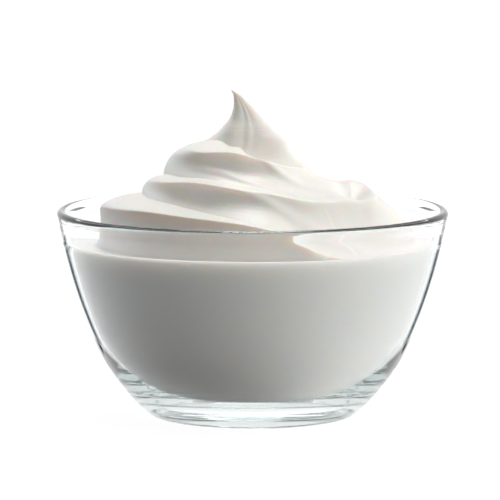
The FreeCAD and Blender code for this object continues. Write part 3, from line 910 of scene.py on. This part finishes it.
def dark_card(name, side, span):
    """A wedge behind the bowl at one side. A span is its first and last slant in degrees, and its far end."""
    near, far = CARD_START, span[2]
    first, last = (math.tan(math.radians(degrees)) for degrees in span[:2])
    corners = [(side * (WALL_EDGE + y * slope), y, CARD_HEIGHT)
               for y, slope in ((near, first), (near, last), (far, last), (far, first))]
    card = flat_piece(name, corners, card_material)
    card.visible_camera = card.visible_diffuse = card.visible_shadow = False
    return card


card_material, _, card_surface = new_material("dark card")
card_surface.inputs["Base Color"].default_value = (0.01, 0.025, 0.05, 1)
card_surface.inputs["Specular IOR Level"].default_value = 0.0
cards = [dark_card(f"card_{word}_{i}", side, span)
         for word, side in (("left", -1), ("right", 1)) for i, span in enumerate(CARD_SPANS)]
print("cards:", [card.name for card in cards])

# %% [markdown]
# ## Sky and lamp
#
# The sky lights the bowl by direction, but what is seen of it is plain white, as a lit backdrop would be.

# %% Sky
SKY_ABOVE = (0.27, 0.265, 0.26, 1)
SKY_STRENGTH = 1.1
SKY_SEEN = (1.0, 1.0, 1.0, 1)
SKY_FADES_FROM, SKY_FADES_TO = 0.35, 0.80


def make_sky():
    """Near the horizon the colour goes round the bowl as above, and fades to one tone overhead. What is seen
    sharply of it is plain white."""
    world = bpy.data.worlds.new("studio")
    bpy.context.scene.world = world
    world.use_nodes = True
    tree = world.node_tree
    seen, lit = tree.nodes["Background"], tree.nodes.new("ShaderNodeBackground")
    seen.inputs["Color"].default_value = SKY_SEEN
    lit.inputs["Strength"].default_value = SKY_STRENGTH
    place, split = tree.nodes.new("ShaderNodeTexCoord"), tree.nodes.new("ShaderNodeSeparateXYZ")
    rise, colour = tree.nodes.new("ShaderNodeMapRange"), tree.nodes.new("ShaderNodeMix")
    rise.interpolation_type = "SMOOTHSTEP"
    rise.inputs["From Min"].default_value = SKY_FADES_FROM
    rise.inputs["From Max"].default_value = SKY_FADES_TO
    colour.data_type = "RGBA"
    colour.inputs["B"].default_value = SKY_ABOVE
    mix = tree.nodes.new("ShaderNodeMixShader")
    link_all(
        tree,
        (place.outputs["Generated"], split.inputs[0]),
        (split.outputs["Z"], rise.inputs["Value"]),
        (rise.outputs["Result"], colour.inputs["Factor"]),
        (place_light_round(tree, place.outputs["Generated"]), colour.inputs["A"]),
        (colour.outputs["Result"], lit.inputs["Color"]),
        (seen_sharply(tree), mix.inputs["Fac"]),
        (lit.outputs[0], mix.inputs[1]),
        (seen.outputs[0], mix.inputs[2]),
        (mix.outputs[0], tree.nodes["World Output"].inputs["Surface"]),
    )


make_sky()
print("sky:", bpy.context.scene.world.name)

# %% Lamp
KEY_PLACE = (0.05, 0.20, 1.0)
KEY_AIM = (0, 0, 0.06)
KEY_SIZE = 0.35
KEY_POWER = 4.8


def add_lamp(name, place, aim, size, power):
    """A square soft lamp that points from its place at its aim."""
    light = bpy.data.lights.new(name, "AREA")
    light.size = size
    light.energy = power
    lamp = bpy.data.objects.new(name, light)
    lamp.location = place
    lamp.rotation_euler = (Vector(aim) - Vector(place)).to_track_quat("-Z", "Y").to_euler()
    bpy.context.scene.collection.objects.link(lamp)
    return lamp


key = add_lamp("key lamp", KEY_PLACE, KEY_AIM, KEY_SIZE, KEY_POWER)
print("lamps:", key.name, "power", key.data.energy)

# %% [markdown]
# ## Camera
#
# A long lens from a little above the rim. Light crosses many faces in the thick foot and rim, more than the
# usual limits on bounces allow, so these are raised.

# %% Camera
CAMERA_LENS = 323.0
CAMERA_SENSOR = 36.0
CAMERA_RIGHT = -0.9 * MM
CAMERA_AWAY = 1.593
CAMERA_OVER_RIM = 0.181
CAMERA_DOWN = 7.01
GLASS_BOUNCES = 24
GLOSSY_BOUNCES = 16


def place_camera():
    """The camera in front of the bowl, looking slightly down."""
    camera = bpy.data.objects.new("camera", bpy.data.cameras.new("camera"))
    camera.data.lens = CAMERA_LENS
    camera.data.sensor_width = CAMERA_SENSOR
    camera.location = (CAMERA_RIGHT, -CAMERA_AWAY, TOP + CAMERA_OVER_RIM)
    camera.rotation_euler = (math.radians(90 - CAMERA_DOWN), 0, 0)
    bpy.context.scene.collection.objects.link(camera)
    bpy.context.scene.camera = camera


place_camera()
scene = bpy.context.scene
scene.view_settings.view_transform = "Standard"
scene.cycles.max_bounces = GLASS_BOUNCES
scene.cycles.transmission_bounces = GLASS_BOUNCES
scene.cycles.glossy_bounces = GLOSSY_BOUNCES
print("camera:", scene.camera.name, "bounces:", scene.cycles.max_bounces)

# %% [markdown]
# ## Hand the pieces to the frame
#
# Both pieces ride on the only body and stand in for the imported nodes, which are hidden.

# %% Ride, and hide the imported nodes
for piece, node, slot in ((bowl, "bowl", "glass"), (yogurt, "yogurt", "yogurt")):
    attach(piece, "root")
    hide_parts(node)
